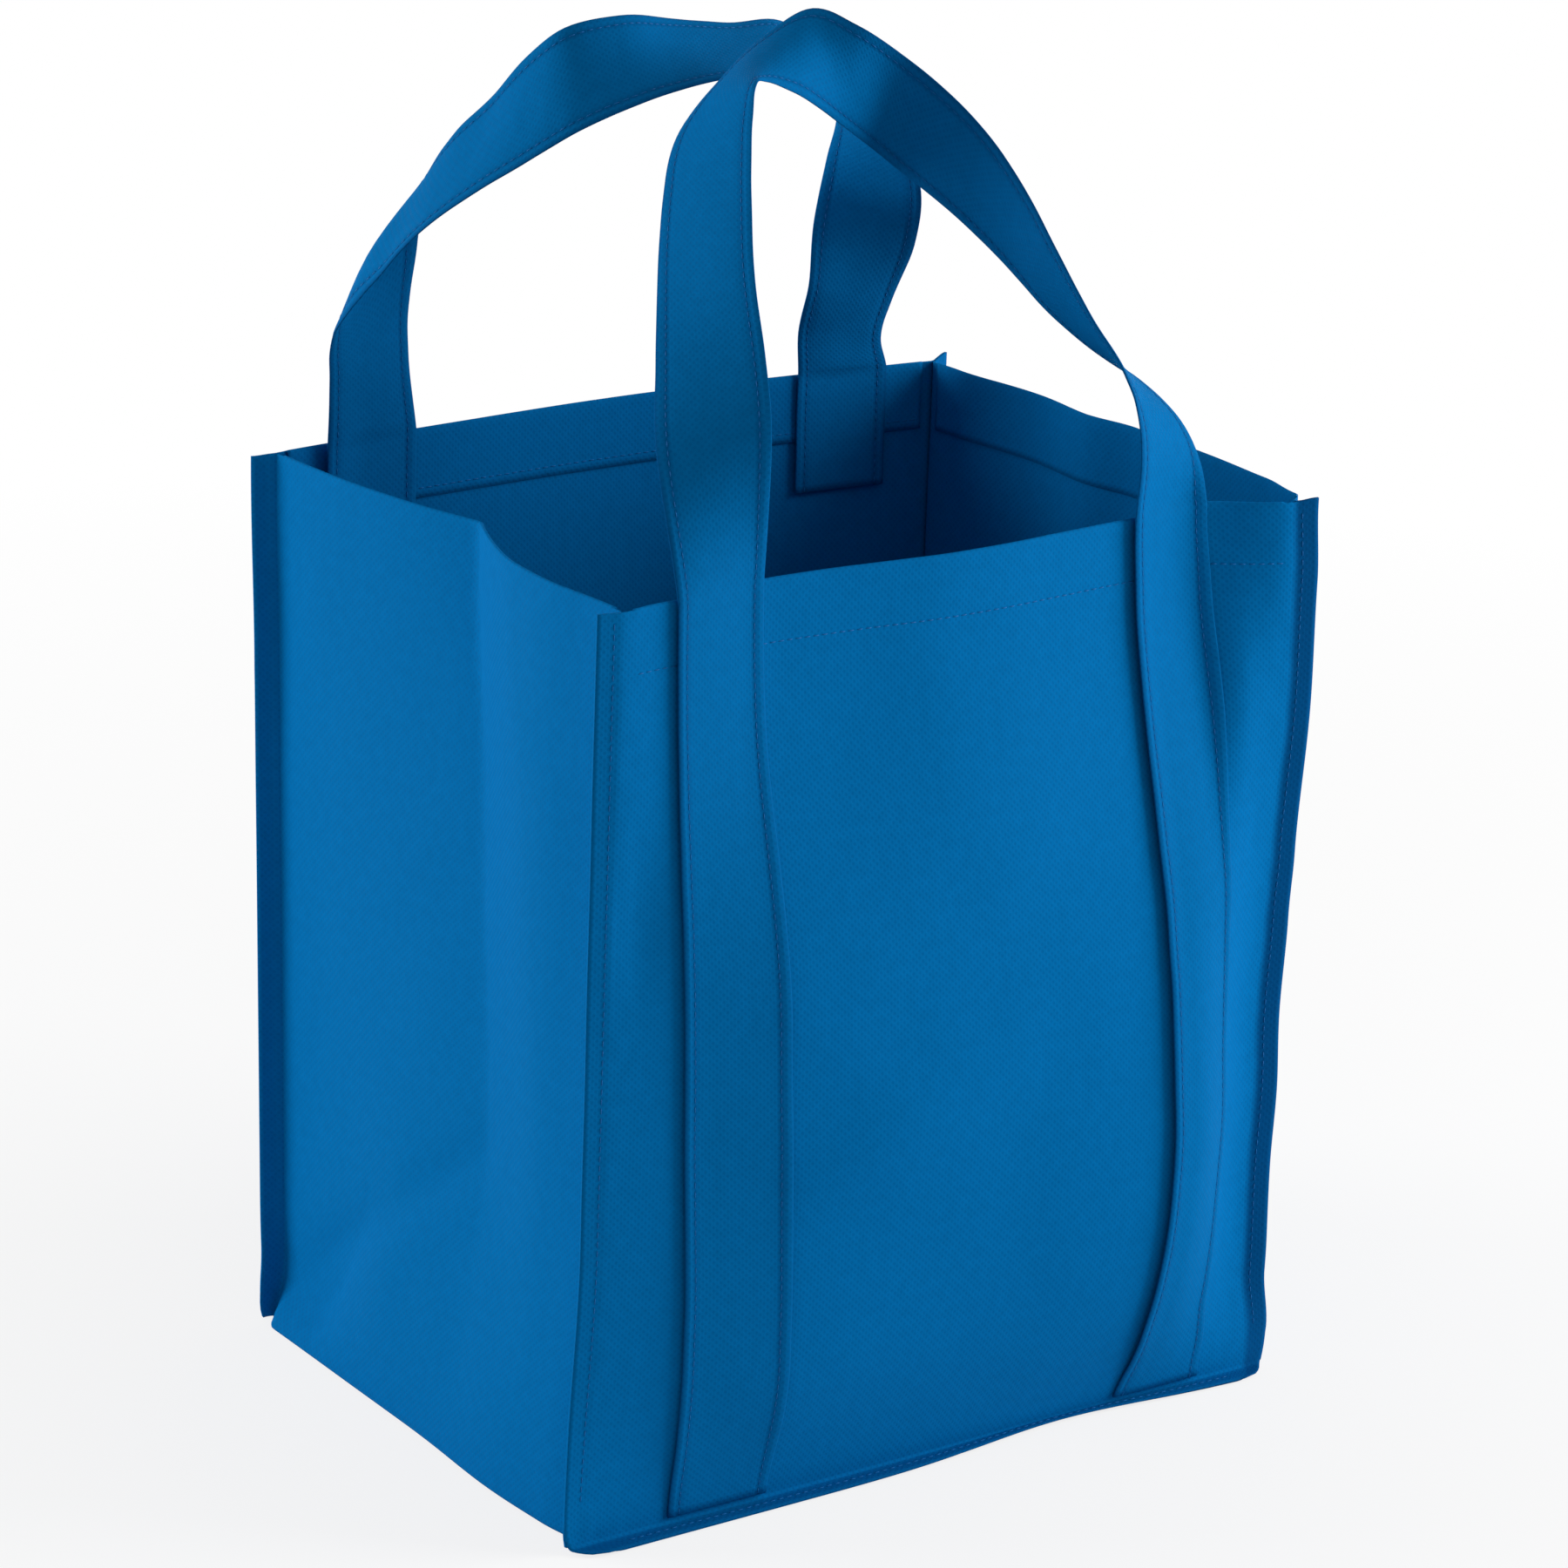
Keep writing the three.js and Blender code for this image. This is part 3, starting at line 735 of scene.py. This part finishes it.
def strap_stitches(bm):
    """Along both edges of both straps, on both faces."""
    lift = STRAP_THICK / 2 * 0.65 + THREAD_LIFT
    for rows in (front_rows, back_rows):
        for column in STITCH_COLUMNS:
            line = [row[column] for row in rows]
            faces = []
            for k, row in enumerate(rows):
                ahead = line[min(k + 1, len(line) - 1)] - line[max(k - 1, 0)]
                faces.append((row[column + 1] - row[column - 1]).cross(ahead).normalized())
            for side in (1, -1):
                path = [p + face * (side * lift) for p, face in zip(line, faces)]
                sew(bm, path, [face * side for face in faces])


seam_thread = thread_piece("seam_stitching", seam_stitches)
hem_thread = thread_piece("hem_stitching", hem_stitches)
strap_thread = thread_piece("strap_stitching", strap_stitches)


# Materials.
def linear(code):
    """An sRGB hex colour as linear values."""
    values = []
    for k in (1, 3, 5):
        c = int(code[k:k + 2], 16) / 255
        values.append(c / 12.92 if c <= 0.04045 else ((c + 0.055) / 1.055) ** 2.4)
    return (*values, 1.0)


def node(tree, kind, inputs, **settings):
    made = tree.nodes.new("ShaderNode" + kind)
    for key, value in settings.items():
        setattr(made, key, value)
    for key, value in inputs.items():
        if isinstance(value, bpy.types.NodeSocket):
            tree.links.new(value, made.inputs[key])
        else:
            made.inputs[key].default_value = value
    return made


def new_material(name):
    material = bpy.data.materials.new(name)
    material.use_nodes = True
    material.node_tree.nodes.clear()
    return material, material.node_tree


def scale_of(size):
    """How often a pattern of this size in millimetres comes in a metre."""
    return 1 / (size * MM)


# Spun-bonded polypropylene cloth: fine endless fibres laid at random and spot-welded between hot
# rollers. The eye gets a matt, slightly cloudy blue with a soft sheen, rows of small round bond
# dents on the diagonal, and a deeper tone along seams, flanges and strap edges, partly where layers
# are sewn flat and partly painted shade for the shade on flanges and along strap edges. Single
# fibres are too fine to show, so they are drawn as bundles.
BOND_PITCH = 1.8
BOND_RELIEF = 0.09
FIBRE_BUNDLE = (1000 / 420, 1000 / 1900)  # 2.4 mm by 0.5 mm
CLOUD = 1000 / 240  # 4.2 mm


def spunbond(name, face, cloudy, dent_and_shade):
    material, tree = new_material(name)
    cut = node(tree, "UVMap", {}, uv_map="cut").outputs["UV"]
    turned = node(
        tree, "Mapping",
        {"Vector": cut, "Rotation": (0, 0, math.pi / 4), "Scale": (scale_of(BOND_PITCH),) * 3},
    )
    bonds = node(
        tree, "TexVoronoi",
        {"Vector": turned.outputs["Vector"], "Scale": 1.0, "Randomness": 0.0},
        voronoi_dimensions="2D", feature="F1",
    )
    loft = node(
        tree, "MapRange", {"Value": bonds.outputs["Distance"], "From Min": 0.18, "From Max": 0.4},
    )
    bundles = (scale_of(FIBRE_BUNDLE[0]), scale_of(FIBRE_BUNDLE[1]), 1)
    laid = node(tree, "Mapping", {"Vector": cut, "Scale": bundles})
    fibres = node(
        tree, "TexNoise",
        {
            "Vector": laid.outputs["Vector"], "Scale": 1.0, "Detail": 5.0,
            "Roughness": 0.65, "Distortion": 1.4,
        },
    )
    clouds = node(
        tree, "TexNoise",
        {"Vector": cut, "Scale": scale_of(CLOUD), "Detail": 4.0, "Roughness": 0.6},
    )
    patch = node(
        tree, "MapRange", {"Value": clouds.outputs["Fac"], "From Min": 0.35, "From Max": 0.65},
    )
    tone = node(
        tree, "MixRGB",
        {"Fac": patch.outputs["Result"], "Color1": linear(cloudy), "Color2": linear(face)},
    )
    dent = node(tree, "MapRange", {"Value": loft.outputs["Result"], "To Min": 0.16, "To Max": 0.0})
    spotted = node(
        tree, "MixRGB",
        {
            "Fac": dent.outputs["Result"], "Color1": tone.outputs["Color"],
            "Color2": linear(dent_and_shade),
        },
    )
    # Darkening stored on the cloth: partly where layers are sewn flat, partly painted shade on
    # flanges and strap edges.
    press_and_shade_field = node(tree, "Attribute", {}, attribute_name="press_and_shade")
    press_and_shade_depth = node(tree, "Math", {0: press_and_shade_field.outputs["Fac"], 1: 0.7}, operation="MULTIPLY")
    press_and_shade_tone = node(
        tree, "MixRGB",
        {
            "Fac": press_and_shade_depth.outputs["Value"], "Color1": spotted.outputs["Color"],
            "Color2": linear(dent_and_shade),
        },
    )
    height = node(
        tree, "Math", {0: fibres.outputs["Fac"], 1: 0.5, 2: loft.outputs["Result"]},
        operation="MULTIPLY_ADD",
    )
    relief = node(
        tree, "Bump",
        {"Strength": 0.5, "Distance": BOND_RELIEF * MM, "Height": height.outputs["Value"]},
    )
    rough = node(tree, "MapRange", {"Value": loft.outputs["Result"], "To Min": 0.58, "To Max": 0.8})
    shader = node(
        tree, "BsdfPrincipled",
        {
            "Base Color": press_and_shade_tone.outputs["Color"], "Roughness": rough.outputs["Result"], "IOR": 1.49,
            "Specular IOR Level": 0.02, "Specular Tint": linear("#3f9be0"), "Sheen Weight": 0.012,
            "Sheen Roughness": 0.5, "Sheen Tint": linear("#2f8fe0"),
            "Normal": relief.outputs["Normal"],
        },
    )
    node(tree, "OutputMaterial", {"Surface": shader.outputs["BSDF"]})
    return material


# Twisted polyester sewing thread dyed to the cloth: a little glossier, with a fine slanting twist
# of about 0.7 mm.
def sewing_thread():
    material, tree = new_material("twisted polyester thread")
    place = node(tree, "TexCoord", {}).outputs["Object"]
    twist = node(
        tree, "TexWave", {"Vector": place, "Scale": 900.0, "Distortion": 1.0},
        bands_direction="DIAGONAL",
    )
    tone = node(
        tree, "MixRGB",
        {"Fac": twist.outputs["Fac"], "Color1": linear("#03599a"), "Color2": linear("#0467a8")},
    )
    relief = node(
        tree, "Bump", {"Strength": 0.4, "Distance": 0.00005, "Height": twist.outputs["Fac"]},
    )
    shader = node(
        tree, "BsdfPrincipled",
        {
            "Base Color": tone.outputs["Color"], "Roughness": 0.55, "Specular IOR Level": 0.15,
            "Normal": relief.outputs["Normal"],
        },
    )
    node(tree, "OutputMaterial", {"Surface": shader.outputs["BSDF"]})
    return material


# Grey pressed board: recycled pulp rolled flat, with a matt face of flecks of about 1.4 mm over
# clouds of about 17 mm.
def pressed_board():
    material, tree = new_material("grey pressed pulp board")
    place = node(tree, "TexCoord", {}).outputs["Object"]
    flecks = node(
        tree, "TexNoise", {"Vector": place, "Scale": 700.0, "Detail": 6.0, "Roughness": 0.7},
    )
    flock = node(tree, "TexNoise", {"Vector": place, "Scale": 60.0, "Detail": 3.0})
    speck = node(
        tree, "MapRange", {"Value": flecks.outputs["Fac"], "From Min": 0.4, "From Max": 0.68},
    )
    tone = node(
        tree, "MixRGB",
        {"Fac": flock.outputs["Fac"], "Color1": linear("#3a3d42"), "Color2": linear("#4a4d51")},
    )
    mottled = node(
        tree, "MixRGB",
        {
            "Fac": speck.outputs["Result"], "Color1": tone.outputs["Color"],
            "Color2": linear("#595b5e"),
        },
    )
    relief = node(
        tree, "Bump", {"Strength": 0.35, "Distance": 0.0001, "Height": flecks.outputs["Fac"]},
    )
    shader = node(
        tree, "BsdfPrincipled",
        {
            "Base Color": mottled.outputs["Color"], "Roughness": 0.85, "IOR": 1.5,
            "Normal": relief.outputs["Normal"],
        },
    )
    node(tree, "OutputMaterial", {"Surface": shader.outputs["BSDF"]})
    return material


# The last colour is the tone of the bond dents and of that darkening, partly painted shade.
cloth = spunbond("spun-bonded polypropylene cloth", "#026cad", "#0268a7", "#033c70")
webbing = spunbond("doubled spun-bonded strap", "#0269a8", "#0265a2", "#033c70")
thread = sewing_thread()
for piece in (front_cloth, back_cloth, gusset_cloth):
    piece.data.materials.append(cloth)
for piece in (front_strap, back_strap):
    piece.data.materials.append(webbing)
for piece in (seam_thread, hem_thread, strap_thread):
    piece.data.materials.append(thread)
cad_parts["base_board"].material_slots[0].material = pressed_board()

# What each piece stands for.
for piece, node_name, slot in (
    (front_cloth, "front_panel", "cloth"),
    (back_cloth, "back_panel", "cloth"),
    (gusset_cloth, "gusset", "cloth"),
    (front_strap, "front_handle", "strap"),
    (back_strap, "back_handle", "strap"),
):
    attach(piece, "root")
    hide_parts(node_name)
for piece, slot in ((seam_thread, "cloth"), (hem_thread, "cloth"), (strap_thread, "strap")):
    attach(piece, "root")


def towards(azimuth, elevation):
    """The direction from the bag to this azimuth and elevation, in degrees, 0 being the front."""
    a, e = math.radians(azimuth), math.radians(elevation)
    return Vector((math.sin(a) * math.cos(e), -math.cos(a) * math.cos(e), math.sin(e)))


# Camera, with the slight roll of the photograph.
def look(azimuth, elevation, roll, distance, target, lens):
    back = towards(azimuth, elevation)
    r = math.radians(roll)
    right = Vector((0, 0, 1)).cross(back).normalized()
    up = back.cross(right)
    turned_right = right * math.cos(r) + up * math.sin(r)
    turned_up = up * math.cos(r) - right * math.sin(r)
    lens_data = bpy.data.cameras.new("camera")
    lens_data.lens = lens
    lens_data.sensor_width = 36.0
    camera = bpy.data.objects.new("camera", lens_data)
    bpy.context.scene.collection.objects.link(camera)
    turn = Matrix((turned_right, turned_up, back)).transposed().to_4x4()
    camera.matrix_world = Matrix.Translation((Vector(target) + back * distance) * MM) @ turn
    bpy.context.scene.camera = camera


look(
    azimuth=-35.54, elevation=18.53, roll=2.15, distance=2013, target=(2.4, 0, 216.4), lens=130.2,
)


# Studio: a pale floor, two wide soft boxes low at the sides and a grey room.
AIM = Vector((0, 0, 0.2))


def soft_box(name, azimuth, elevation, distance, width, height, power):
    back = towards(azimuth, elevation)
    lamp = bpy.data.lights.new(name, "AREA")
    lamp.shape = "RECTANGLE"
    lamp.size, lamp.size_y = width, height
    lamp.energy = power
    box = bpy.data.objects.new(name, lamp)
    bpy.context.scene.collection.objects.link(box)
    turn = back.to_track_quat("Z", "Y").to_matrix().to_4x4()
    box.matrix_world = Matrix.Translation(AIM + back * distance) @ turn


soft_box(
    "left soft box", azimuth=-128, elevation=14, distance=2.2, width=1.2, height=1.5, power=37,
)
soft_box(
    "right soft box", azimuth=58, elevation=18, distance=1.6, width=1.0, height=1.3, power=27,
)

# The floor lies a hair below the base, so that the two never share a plane.
FLOOR_RADIUS = 14
FLOOR_DROP = 0.0004
bm = bmesh.new()
bmesh.ops.create_circle(
    bm, cap_ends=True, radius=FLOOR_RADIUS, segments=96,
    matrix=Matrix.Translation((0, 0, -FLOOR_DROP)),
)
floor_mesh = bpy.data.meshes.new("floor")
bm.to_mesh(floor_mesh)
bm.free()
floor = bpy.data.objects.new("floor", floor_mesh)
bpy.context.scene.collection.objects.link(floor)


def eye_rays(tree):
    """1 for what the camera sees straight, mirrored or through something, and 0 for other light."""
    seen = node(tree, "LightPath", {}).outputs
    pair = {0: seen["Is Camera Ray"], 1: seen["Is Glossy Ray"]}
    straight = node(tree, "Math", pair, operation="MAXIMUM")
    both = {0: straight.outputs["Value"], 1: seen["Is Transmission Ray"]}
    return node(tree, "Math", both, operation="MAXIMUM").outputs["Value"]


# White studio paper: matt, and kept white to the eye while it still takes the bag's shadow.
paper, tree = new_material("matt white studio paper")
matt = node(tree, "BsdfDiffuse", {"Color": linear("#ededed")})
glow = node(tree, "Emission", {"Color": linear("#ffffff"), "Strength": 1.0})
place = node(tree, "TexCoord", {}).outputs["Object"]
away = node(tree, "VectorMath", {0: place}, operation="LENGTH")
share = node(
    tree, "MapRange",
    {
        "Value": away.outputs["Value"], "From Min": 0.2, "From Max": 1.2,
        "To Min": 0.8, "To Max": 1.0,
    },
)
part = node(tree, "Math", {0: eye_rays(tree), 1: share.outputs["Result"]}, operation="MULTIPLY")
mixed = node(
    tree, "MixShader",
    {0: part.outputs["Value"], 1: matt.outputs["BSDF"], 2: glow.outputs["Emission"]},
)
node(tree, "OutputMaterial", {"Surface": mixed.outputs["Shader"]})
floor_mesh.materials.append(paper)

world = bpy.data.worlds.new("grey room")
bpy.context.scene.world = world
world.use_nodes = True
tree = world.node_tree
tree.nodes.clear()
strength = node(tree, "MapRange", {"Value": eye_rays(tree), "To Min": 0.32, "To Max": 1.0})
room = node(
    tree, "Background", {"Color": linear("#ffffff"), "Strength": strength.outputs["Result"]},
)
node(tree, "OutputWorld", {"Surface": room.outputs["Background"]})

bpy.context.scene.view_settings.view_transform = "Standard"
